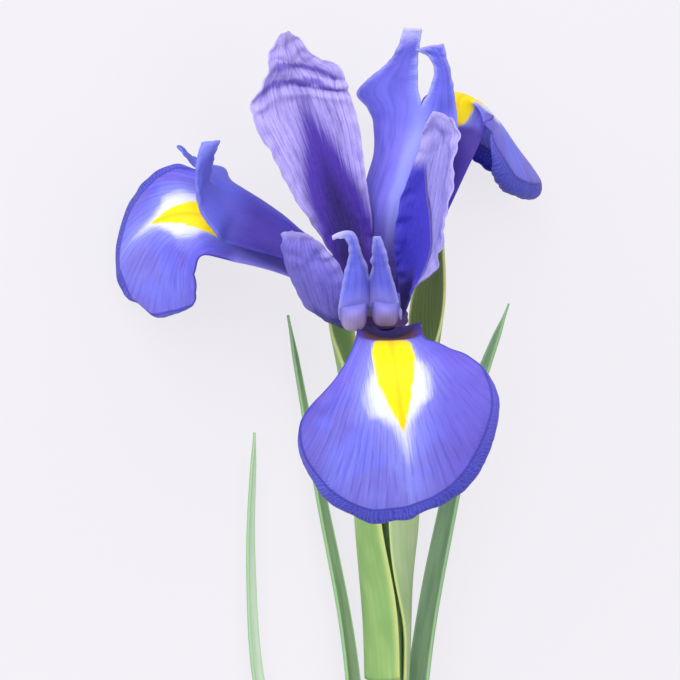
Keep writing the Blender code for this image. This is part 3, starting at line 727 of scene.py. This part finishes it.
def grain_group():
    """Lengthwise grain of a leaf or a sheath, and soft clouds of shade over it."""
    tree, n, given, result = new_group("leaf_grain", ("Span", "Along", "Count"), ("Grain", "Clouds"))
    far = n.times(given["Along"], 0.02)
    drift = n.noise(n.vector(given["Span"], far, 0.0), 3.0)
    wave = n.math("SINE", n.line(given["Span"], given["Count"], n.times(drift, 3.0)))
    fine = n.noise(n.vector(n.times(given["Span"], 22.0), far, 1.0), 2.0, 3.0)
    n.join(n.line(wave, 0.25, fine), result["Grain"])
    place = n.vector(given["Span"], n.times(given["Along"], 0.05), 3.0)
    n.join(n.noise(place, 1.2), result["Clouds"])
    return tree


VEINS = vein_group()
RELIEF = relief_group()
FLASH = flash_group()
GRAIN = grain_group()


def new_material(name):
    made = bpy.data.materials.new(name)
    made.use_nodes = True
    made.node_tree.nodes.clear()
    return made, Nodes(made.node_tree)


def close_material(n, colour, height, rough=0.5, through=0.3, bump=0.3):
    """A soft surface that lets some light through it: through is how much."""
    relief = n.add("Bump", {"Height": height, "Strength": bump, "Distance": 0.3 * MM}).outputs[0]
    shader = n.add("BsdfPrincipled", {"Base Color": colour, "Roughness": rough, "Normal": relief})
    shader.inputs["Specular IOR Level"].default_value = 0.3
    shader.inputs["Sheen Weight"].default_value = 0.04
    shader.inputs["Sheen Roughness"].default_value = 0.5
    glow = n.add("BsdfTranslucent", {"Color": colour, "Normal": relief})
    both = n.add("MixShader", {0: through, 1: shader.outputs[0], 2: glow.outputs[0]})
    n.tree.links.new(both.outputs[0], n.add("OutputMaterial").inputs["Surface"])


FALL_BLUE = paint(102, 104, 230)
FALL_PURPLE = paint(108, 92, 206)
FALL_DEEP = paint(76, 70, 190)
FALL_PALE = paint(160, 166, 248)
PETAL_WHITE = paint(224, 228, 243)
FLASH_YELLOW = paint(252, 230, 0)
FLASH_GOLD = paint(250, 206, 0)
# painted shade in the wrinkles of a fall's rolled rim and along the crease where it starts
RIM_SHADE_BLUE = paint(60, 58, 166)
RIM_LIGHT = paint(84, 88, 204)
# the left fall's haft tones, made lighter: painted light where the left arm shades the haft
HAFT_PALE_PAINTED_LIGHT = paint(146, 138, 234)
HAFT_BLUE_PAINTED_LIGHT = paint(126, 116, 222)
# the dark heart of a petal, also used as painted shade in the throat and along a fold
HEART_DARK_AND_SHADE = paint(58, 40, 130)
VIOLET_DARK = paint(80, 60, 166)
# painted light shining through a standard's thin rim
PAINTED_EDGE_GLOW = paint(206, 196, 246)
HALF_BLUE = paint(92, 84, 222)
STRIP_BLUE = paint(112, 120, 232)
LIP_BLUE = paint(158, 152, 226)
CREST_PALE = paint(206, 206, 244)
CREST_BLUE = paint(142, 150, 234)
LOBE_BLUE = paint(126, 122, 212)
LOBE_PINK = paint(194, 172, 210)
LOBE_VEIN = paint(120, 108, 200)
# painted shade deep in the throat, dark maroon
THROAT_SHADE_MAROON = paint(98, 50, 60)


def petal_effects(n, facts, count, wander, crepe, curl):
    """A petal's veins and its relief: how many veins and how much they wander, how strong the crepe is,
    and how strong the wrinkles of its curled rim are."""
    span, along, edge, across, rim, fan = facts
    veins = n.group(VEINS, {"Fan": fan, "Along": along, "Count": count, "Wander": wander})
    given = {"Lines": veins["Lines"], "Across": across, "Along": along, "Rim": rim}
    relief = n.group(RELIEF, {**given, "Edge": edge, "Crepe": crepe, "Curl": curl})
    return veins, relief


def fall_finish(
    name, hafts, shift=0.0, lean=0.0, start=0.0, scale=1.0, band=(50.0, 65.0, 1.5), side=None, shade=0.0
):
    """hafts are the tones of the sides and middle of the narrow part inside the flower. shift and lean
    move the flash off the midrib, start and scale say where it is along it. band is where along it the
    rolled rim begins to broaden, where it is full and how broad, and side the spans it fades between.
    shade is how much deeper its right side is, seen from the tip."""
    made, n = new_material(name)
    span, along, edge, across, rim, fan = facts = n.facts()
    rolled = n.step(along, band[0], band[1])
    if side:
        rolled = n.times(rolled, n.step(span, side[0], side[1]))
    veins, relief = petal_effects(n, facts, 124.0, 4.0, 0.7, rolled)
    # the blade
    moved = n.line(n.math("SUBTRACT", along, FLASH_MIDDLE), lean, n.math("ADD", across, shift))
    place = {"Across": n.math("DIVIDE", moved, scale)}
    place["Along"] = n.math("DIVIDE", n.math("SUBTRACT", along, start), scale)
    flash = n.group(FLASH, place)
    colour = n.mix(n.step(veins["Patches"], 0.4, 0.62), FALL_BLUE, FALL_PURPLE)
    colour = n.mix(n.step(veins["Streaks"], 0.42, 0.75, 0.0, 0.35), colour, FALL_PALE)
    colour = n.mix(n.step(along, 46.0, 64.0, 0.0, 0.28), colour, FALL_PALE)
    colour = n.mix(n.times(flash["Glow"], 0.5), colour, FALL_PALE)
    if shade:
        colour = n.mix(n.step(across, 3.0, 12.0, 0.0, shade), colour, FALL_PURPLE)
    colour = n.mix(n.times(veins["Lines"], 0.34), colour, FALL_DEEP)
    colour = n.mix(n.step(edge, 6.0, 0.5, 0.0, 0.3), colour, FALL_PURPLE)
    # the rolled rim, with painted shade in its wrinkles and along the dark line where it starts
    past = n.line(rolled, -band[2], edge)
    shown = n.line(rolled, 0.65, 0.35)
    colour = n.mix(n.times(n.step(past, 0.3, -0.1), shown), colour, RIM_LIGHT)
    colour = n.mix(n.times(relief["Wrinkle"], 0.8), colour, RIM_SHADE_BLUE)
    colour = n.mix(n.step(n.size(past), 0.45, 0.1, 0.0, 0.7), colour, RIM_SHADE_BLUE)
    # the flash
    colour = n.mix(flash["White"], colour, PETAL_WHITE)
    colour = n.mix(flash["Gold"], colour, n.mix(flash["Core"], FLASH_YELLOW, FLASH_GOLD))
    # the narrow part inside the flower. On the front fall its middle is painted shade deep in the throat,
    # and the left fall's tones are painted lighter where the left arm shades it.
    inner = FLASH_FROM * scale + start
    colour = n.mix(n.step(along, inner, inner - 3.0), colour, hafts[0])
    throat = n.times(n.step(along, inner, inner - 2.0), n.step(along, inner - 26.0, inner - 18.0))
    middle = n.times(throat, n.step(n.size(across), 6.5, 4.0))
    colour = n.mix(middle, colour, hafts[1])
    close_material(n, colour, relief["Height"])
    return made


def standard_finish(name, tones, heart, folds=(), half_colour=None):
    """tones are pale, middle and dark. heart is how far along its dark heart reaches, and folds are how
    far along its creases are. half_colour is for the lower part right of the midrib, seen from its tip."""
    pale, middle, dark = tones
    made, n = new_material(name)
    span, along, edge, across, rim, fan = facts = n.facts()
    veins, relief = petal_effects(n, facts, 44.0, 7.0, 2.2, 0.0)
    colour = n.mix(n.step(veins["Streaks"], 0.35, 0.65, 0.0, 0.55), pale, middle)
    colour = n.mix(n.times(veins["Lines"], 0.6), colour, middle)
    colour = n.mix(n.step(veins["Patches"], 0.5, 0.7, 0.0, 0.35), colour, dark)
    rim_share = n.step(along, 16.0, 34.0, 0.0, 0.65)
    if half_colour:
        past = n.line(n.math("SUBTRACT", along, 31.0), -0.055, span)
        low = n.step(along, 40.0, 36.0)
        half = n.times(n.step(past, 0.0, 0.1), low)
        colour = n.mix(half, colour, half_colour)
        # a dark line along that half's edge: painted shade where the petal folds
        line = n.step(n.size(past), 0.08, 0.0, 0.0, 0.7)
        colour = n.mix(n.times(line, low), colour, HEART_DARK_AND_SHADE)
        rim_share = n.line(half, -0.6, 0.65)
    # the heart, ragged where it ends
    ragged = n.line(n.math("SUBTRACT", veins["Streaks"], 0.5), 0.8, n.size(span))
    ends = {"From Min": heart, "From Max": 6.0, "To Min": -0.2, "To Max": 1.4}
    limit = n.add("MapRange", {"Value": along, **ends}).outputs[0]
    inside = n.math("SUBTRACT", ragged, limit)
    colour = n.mix(n.step(inside, 0.25, -0.2), colour, dark)
    colour = n.mix(n.step(inside, -0.2, -0.8), colour, HEART_DARK_AND_SHADE)
    # the creases, each darkened along its fold with a line of painted shade
    bow = n.line(across, FOLD_ARCH, FOLD_LEAN)
    bent = n.line(veins["Patches"], 4.0, n.line(across, bow, along))
    for fold in folds:
        crease_shade = n.step(n.size(n.math("SUBTRACT", bent, fold + 2.0)), 1.3, 0.2, 0.0, 0.75)
        colour = n.mix(crease_shade, colour, dark)
    # the pale edge: painted light that shines through the thin rim
    near = n.line(veins["Streaks"], 3.0, edge)
    colour = n.mix(n.times(n.step(near, 4.0, 1.4), rim_share), colour, PAINTED_EDGE_GLOW)
    close_material(n, colour, relief["Height"], through=0.45, bump=0.7)
    return made


def style_finish(name, left, right, tip, lip, reach, keel_line_and_highlight, keel, strip, fade=None):
    """left and right are the tones of its halves, seen from its tip, and tip that of its crests. lip is
    how far along it the crests begin and reach how far they go. keel is how much of keel_line_and_highlight its ridge
    has, strip is how light it turns past the lip, and fade is a tone there."""
    made, n = new_material(name)
    span, along, edge, across, rim, fan = facts = n.facts()
    veins, relief = petal_effects(n, facts, 26.0, 4.0, 0.8, 0.2)
    colour = n.mix(n.step(span, -0.08, 0.08), left, right)
    colour = n.mix(n.step(veins["Patches"], 0.4, 0.7, 0.0, 0.4), colour, FALL_DEEP)
    colour = n.mix(n.times(veins["Lines"], 0.35), colour, FALL_DEEP)
    # the keel's ridge, tinted: on the back arm a pale painted highlight, on the others a darker line
    ridge = n.step(n.size(span), 0.34, 0.0)
    colour = n.mix(n.times(ridge, keel), colour, keel_line_and_highlight)
    colour = n.mix(n.step(along, lip - 5.0, lip + 4.0, 0.0, strip), colour, STRIP_BLUE)
    if fade:
        colour = n.mix(n.step(along, lip + 9.0, lip), colour, fade)
    outer = n.times(n.step(along, lip - 4.0, lip + 6.0, 0.1, 0.4), n.step(edge, 1.0, 0.1))
    colour = n.mix(outer, colour, tip)
    colour = n.mix(n.step(along, reach - 5.0, reach, 0.0, 0.8), colour, tip)
    colour = n.mix(n.step(along, 26.0, 6.0), colour, HEART_DARK_AND_SHADE)
    close_material(n, colour, relief["Height"], through=0.35, bump=0.35)
    return made


def lobe_finish():
    made, n = new_material("style_lobe")
    span, along, edge, across, rim, fan = n.facts()
    veins = n.group(VEINS, {"Fan": fan, "Along": along, "Count": 24.0, "Wander": 3.0})
    colour = n.mix(n.step(along, 4.5, 10.0), LOBE_BLUE, LOBE_PINK)
    colour = n.mix(n.times(veins["Lines"], 0.3), colour, LOBE_VEIN)
    colour = n.mix(n.step(n.size(span), 0.62, 0.98, 0.0, 0.7), colour, FALL_DEEP)
    close_material(n, colour, veins["Streaks"], through=0.3, bump=0.2)
    return made


def green_finish(name, base, deep, edge_colour=None, count=40.0, edge_band=0.0, top=None):
    """count is how much grain it has, and edge_colour that of its rim, edge_band wide. top is where along
    it a painted shade starts, where it is full, and that shade's two tones."""
    made, n = new_material(name)
    span, along, edge, across, rim, fan = n.facts()
    grain = n.group(GRAIN, {"Span": span, "Along": along, "Count": count})
    colour = n.mix(n.step(grain["Clouds"], 0.3, 0.7), base, deep)
    colour = n.mix(n.step(grain["Grain"], 0.3, 0.9, 0.0, 0.4), colour, deep)
    if top:
        colour = n.mix(n.step(along, top[0], top[1]), colour, n.mix(grain["Grain"], top[2], top[3]))
    if edge_colour:
        colour = n.mix(n.step(edge, edge_band, 0.1, 0.0, 0.8), colour, edge_colour)
    close_material(n, colour, grain["Grain"], rough=0.45, through=0.15, bump=0.2)
    return made


# ---------------------------------------------------------------- pieces


def make_falls():
    flashes = {
        "fall_front": {
            # the middle of its haft is painted dark maroon: painted shade deep in the throat
            "hafts": (VIOLET_DARK, THROAT_SHADE_MAROON),
            "shift": -0.1,
            "lean": -0.035,
            "band": (58.0, 80.0, 2.4),
            "shade": 0.7,
        },
        "fall_left": {
            # its haft tones are made lighter: painted light where the left arm shades the haft
            "hafts": (HAFT_PALE_PAINTED_LIGHT, HAFT_BLUE_PAINTED_LIGHT),
            "shift": 0.6,
            "lean": 0.28,
            "start": 1.2,
            "scale": 0.85,
            "band": (41.0, 53.0, 2.8),
            "side": (0.5, -0.5),
        },
        "fall_back": {"hafts": (VIOLET_DARK, VIOLET_DARK), "start": 6.5, "scale": 0.9},
    }
    # start is where along it a fall's blade begins, radius that of its curled rim, and lows where the
    # curl begins on its left and its right.
    for name, ribs, slant, start, radius, lows, seed in (
        ("fall_front", FALL_FRONT, FALL_SLANT, 36.0, 1.9, (52.0, 52.0), 3.0),
        ("fall_left", FALL_LEFT, 0.0, 32.0, 0.9, (44.0, 54.0), 11.0),
        ("fall_back", FALL_BACK, 0.0, 42.0, 1.7, (50.0, 52.0), 19.0),
    ):
        sheet = petal_sheet(name, ribs, PETAL_ROWS, PETAL_COLUMNS, slant, grow=-1.0)
        along, across = sheet.facts["along"], sheet.facts["across"]
        sheet.facts["fan"] = np.arctan2(across, np.hypot(np.clip(along - start, 0, None), FAN_EASE))
        sheet.crumple(0.35, 9.0, seed, (0.7, 1.6), low=start)
        sheet.frill(0.12, 8.0, 8.0, seed, low=start)
        sheet.curl_rim(radius, lows, seed)
        finish_sheet(sheet, PETAL_WALL, fall_finish(name + "_petal", **flashes[name]), name)


# Low on its left, seen from the tip, the back standard reaches in behind the back arm, by TUCK.
TUCK = 0.9
TUCK_LOW = 8
TUCK_HIGH = 26


def make_standards():
    back = paint(214, 202, 250), paint(150, 134, 224), paint(92, 64, 186)
    right = paint(200, 192, 248), paint(148, 138, 226), paint(92, 80, 200)
    left = paint(150, 142, 232), paint(116, 104, 208), paint(88, 74, 184)
    tucked = [
        (middle, (aside + (TUCK if TUCK_LOW < middle[2] < TUCK_HIGH else 0.0), other), face, cup)
        for middle, (aside, other), face, cup in STANDARD_BACK
    ]
    for name, ribs, tones, finish, grow, seed in (
        ("standard_back", tucked, back, {"heart": 51.0, "folds": (50.5, 54.0)}, 0.5, 31.0),
        ("standard_right", STANDARD_RIGHT, right, {"heart": 14.0, "half_colour": HALF_BLUE}, 0.3, 41.0),
        ("standard_left", STANDARD_LEFT, left, {"heart": 20.0}, 0.3, 53.0),
    ):
        sheet = petal_sheet(name, ribs, PETAL_ROWS, PETAL_COLUMNS, grow=grow)
        # broad, middling and fine crumples, the finer ones nearer the rim
        sheet.crumple(0.7, 10.0, seed, (0.6, 1.8))
        sheet.crumple(0.55, 5.0, seed + 1, (0.7, 1.3), band=7.0)
        sheet.crumple(0.5, 2.4, seed + 2, (1.0, 1.0), band=4.0)
        across = sheet.facts["across"]
        level = sheet.facts["along"] + (FOLD_LEAN + FOLD_ARCH * across) * across
        level = level + 2.0 * sheet.lumps(9.0, seed)
        for fold in finish.get("folds", ()):
            height = level - fold
            sheet.push(0.6 * np.exp(-(((height + 1.4) / 1.2) ** 2)) - 0.6 * np.exp(-((height / 1.0) ** 2)))
        top = sheet.facts["along"].max()
        sheet.push(0.6 * sheet.lumps(2.6, seed + 5) * smooth(top - 11, top - 4, sheet.facts["along"]))
        material = standard_finish(name + "_petal", tones, **finish)
        finish_sheet(sheet, PETAL_WALL, material, name)


def make_style_arms():
    # the tones of the left half, the right half and the crests
    front = paint(112, 118, 228), paint(104, 106, 216), CREST_PALE
    left = paint(86, 78, 196), paint(78, 58, 166), CREST_BLUE
    back = paint(124, 124, 238), paint(128, 120, 228), CREST_PALE
    for name, ribs, crests, joined, tones, keel, seed in (
        ("style_arm_front", STYLE_FRONT, CRESTS_FRONT, 22, front, (HEART_DARK_AND_SHADE, 0.6, 0.3, LIP_BLUE), 61.0),
        ("style_arm_left", STYLE_LEFT, CRESTS_LEFT, 20, left, (FALL_DEEP, 0.5, 0.55), 67.0),
        # the back arm's pale keel is a painted highlight
        ("style_arm_back", STYLE_BACK, CRESTS_BACK, 12, back, (FALL_PALE, 0.8, 0.3), 73.0),
    ):
        sheet = arm_sheet(name, ribs, crests, joined)
        sheet.crumple(0.25, 5.0, seed, (0.8, 1.6))
        sheet.crumple(0.35, 1.6, seed + 2, band=1.8, low=sheet.lip + 5)
        material = style_finish(name + "_arm", *tones, sheet.lip, sheet.facts["along"].max(), *keel)
        finish_sheet(sheet, STYLE_WALL, material, name)
    make_lobes()


# The lobes under the front arm's lip: the inner and outer corner of each, across and up, and how low it
# hangs. Each starts behind its crest, LOBE_RISE above those corners.
LOBES = (("left", (-3.5, 3.6), (-9.4, 1.6), -2.8), ("right", (-2.9, 3.6), (2.8, 2.2), -1.9))
LOBE_RISE = 2.4
LOBE_CORNER = -0.2  # how low its sides end
LOBE_NARROW = 0.16  # how much narrower it is at its foot
LOBE_START = -36.6  # how far forwards it starts
LOBE_STEP = 1.6  # how far it steps forwards, out from behind the crest
LOBE_BELLY = 2.8
LOBE_TUCK = 2.0  # how far its foot draws back


def make_lobes():
    """The two round lobes that hang from the lip of the front arm, one under each crest."""
    material = lobe_finish()
    rows, columns = 40, 31
    down = np.linspace(0, 1, rows)[:, None] * np.ones((1, columns))
    share = np.ones((rows, 1)) * np.linspace(0, 1, columns)[None]
    round_off = (1 - np.abs(2 * share - 1) ** 2.6) ** 0.5
    narrow = 1 - LOBE_NARROW * down**2
    belly = np.sin(math.pi * np.clip((down - 0.2) / 0.84, 0, 1)) * np.sin(math.pi * share) ** 0.7
    y = LOBE_START - LOBE_STEP * smooth(0, 0.3, down) - LOBE_BELLY * belly + LOBE_TUCK * down**3
    for side, inner, outer, low in LOBES:
        top = inner[1] + LOBE_RISE + (outer[1] - inner[1]) * share
        foot = LOBE_CORNER + (low - LOBE_CORNER) * round_off
        x = inner[0] + (outer[0] - inner[0]) * (0.5 + (share - 0.5) * narrow)
        z = top + (foot - top) * down
        grid = np.stack([x, y, z], -1)
        sheet = Sheet("style_lobe_" + side)
        far = np.repeat(lengths(grid[:, columns // 2])[:, None], columns, axis=1)
        index = sheet.add_grid(grid, 2 * share - 1, 6 * share, far)
        if side == "left":
            sheet.faces = [face[::-1] for face in sheet.faces]
        sheet.round_rim(index)
        finish_sheet(sheet, STYLE_WALL, material, "style_arm_front")


def make_stamens():
    cream = green_finish("anther_cream", paint(232, 222, 190), paint(196, 178, 140), count=8.0)
    for name, points in STAMENS.items():
        sheet = stalk_sheet(name, points, STAMEN_RADII, count=60, sides=20, flutes=2, depth=0.12, flat=0.6)
        finish_sheet(sheet, 0.0, cream, name)


# The ovary's upper end widens into the throat. This stands there in place of its first ring.
THROAT_FLARE = (((0.0, -0.2, 0.2), 5.6), ((0.0, 0.6, -1.4), 4.4), ((0.1, 2.4, -4.6), 2.6))


def make_stem():
    base, deep, edge = paint(150, 190, 130), paint(118, 164, 102), paint(200, 215, 170)
    stem = green_finish("stem_skin", base, deep, edge, count=60.0, edge_band=1.0)
    radii = [STEM_RADIUS] * len(STEM)
    sheet = stalk_sheet("stem", STEM, radii, count=140, sides=40, flutes=12, depth=0.015)
    finish_sheet(sheet, 0.0, stem, "stem")
    # the top of the ovary, deep in the throat, is painted dark: painted shade there
    top = (16.0, 9.0, THROAT_SHADE_MAROON, HEART_DARK_AND_SHADE)
    ovary = green_finish("ovary_skin", paint(120, 165, 100), paint(90, 140, 80), count=20.0, top=top)
    points, radii = zip(*(THROAT_FLARE + OVARY[1:]))
    sheet = stalk_sheet("ovary", points, radii, count=80, sides=36, flutes=6, depth=0.06)
    finish_sheet(sheet, 0.0, ovary, "ovary")


def make_spathes():
    edge = paint(206, 218, 136)
    # the right spathe's top is painted darker: painted shade cast on it by the flower
    shade_under_flower = (44.0, 84.0, paint(128, 148, 84), paint(100, 126, 70))
    for name, ribs, base, deep, edge_band, top, grow in (
        ("spathe_left", SPATHE_LEFT, paint(152, 186, 116), paint(126, 166, 96), 1.6, None, 1.2),
        ("spathe_right", SPATHE_RIGHT, paint(168, 190, 142), paint(146, 174, 122), 0.6, shade_under_flower, 0.0),
    ):
        skin = green_finish(name + "_skin", base, deep, edge, 36.0, edge_band, top)
        sheet = petal_sheet(name, ribs, count=90, columns=33, grow=grow)
        finish_sheet(sheet, SPATHE_WALL, skin, name)


def make_leaves():
    for name, ribs, base, deep in (
        ("leaf_left", LEAF_LEFT, paint(142, 168, 130), paint(114, 148, 108)),
        ("leaf_right", LEAF_RIGHT, paint(140, 170, 136), paint(110, 148, 112)),
        ("leaf_far_left", LEAF_FAR_LEFT, paint(188, 206, 184), paint(176, 198, 174)),
    ):
        skin = green_finish(name + "_skin", base, deep, paint(150, 190, 140), 24.0, 0.4)
        sheet = petal_sheet(name, ribs, count=120, columns=21, taper=0.8)
        finish_sheet(sheet, LEAF_WALL, skin, name)


# ---------------------------------------------------------------- floor, light and camera

FLOOR_REACH = 3.0  # metres from the middle to each side
FLOOR_DROP = 0.3  # millimetres that it lies below the flower
FLOOR_GLOW = 0.84
SKY = 0.62
SKY_TINT = (1.0, 0.985, 1.0, 1.0)
KEY_WATTS = 21.0
# Each lamp: its place by the standing plant, its width in metres and its share of KEY_WATTS.
LAMPS = (("key", (-460.0, -1020.0, 500.0), 1.5, 1.0), ("fill", (740.0, -740.0, 110.0), 1.0, 0.25))


def make_floor():
    mesh = bpy.data.meshes.new("floor")
    corners = [(x * FLOOR_REACH, y * FLOOR_REACH, 0) for x, y in ((-1, -1), (1, -1), (1, 1), (-1, 1))]
    mesh.from_pydata(corners, [], [(0, 1, 2, 3)])
    floor = bpy.data.objects.new("floor", mesh)
    floor.location.z = -FLOOR_DROP * MM
    bpy.context.scene.collection.objects.link(floor)
    made, n = new_material("floor_paper")
    shade = n.noise(n.add("TexCoord").outputs["Object"], 3.0)
    colour = n.mix(shade, paint(82, 81, 84), paint(86, 85, 88))
    glow = n.mix(shade, paint(243, 241, 246), paint(245, 243, 248))
    shader = n.add("BsdfPrincipled", {"Base Color": colour, "Roughness": 0.9, "Emission Color": glow})
    shader.inputs["Emission Strength"].default_value = FLOOR_GLOW
    shader.inputs["Specular IOR Level"].default_value = 0.1
    n.tree.links.new(shader.outputs[0], n.add("OutputMaterial").inputs["Surface"])
    mesh.materials.append(made)


def make_light():
    world = bpy.data.worlds.new("studio")
    world.use_nodes = True
    sky = world.node_tree.nodes["Background"].inputs
    sky["Color"].default_value = SKY_TINT
    sky["Strength"].default_value = SKY
    bpy.context.scene.world = world
    for name, place, size, share in LAMPS:
        lamp = bpy.data.lights.new(name, "AREA")
        lamp.shape = "DISK"
        lamp.size = size
        lamp.energy = share * KEY_WATTS
        made = bpy.data.objects.new(name, lamp)
        bpy.context.scene.collection.objects.link(made)
        spot = turn_down() @ (Vector(place) * MM)
        made.location = spot
        aim = turn_down().translation - spot
        made.rotation_euler = aim.to_track_quat("-Z", "Y").to_euler()


def make_camera():
    lens = bpy.data.cameras.new("camera")
    lens.sensor_width = SENSOR
    lens.lens = SENSOR * -EYE[1] / EYE_WIDTH
    lens.clip_start = 0.01
    camera = bpy.data.objects.new("camera", lens)
    bpy.context.scene.collection.objects.link(camera)
    stand = Matrix.Translation(Vector(EYE) * MM) @ Matrix.Rotation(math.radians(90), 4, "X")
    camera.matrix_world = turn_down() @ stand
    bpy.context.scene.camera = camera


make_falls()
make_standards()
make_style_arms()
make_stamens()
make_stem()
make_spathes()
make_leaves()
make_floor()
make_light()
make_camera()
bpy.context.scene.view_settings.view_transform = "Standard"
bpy.context.view_layer.update()
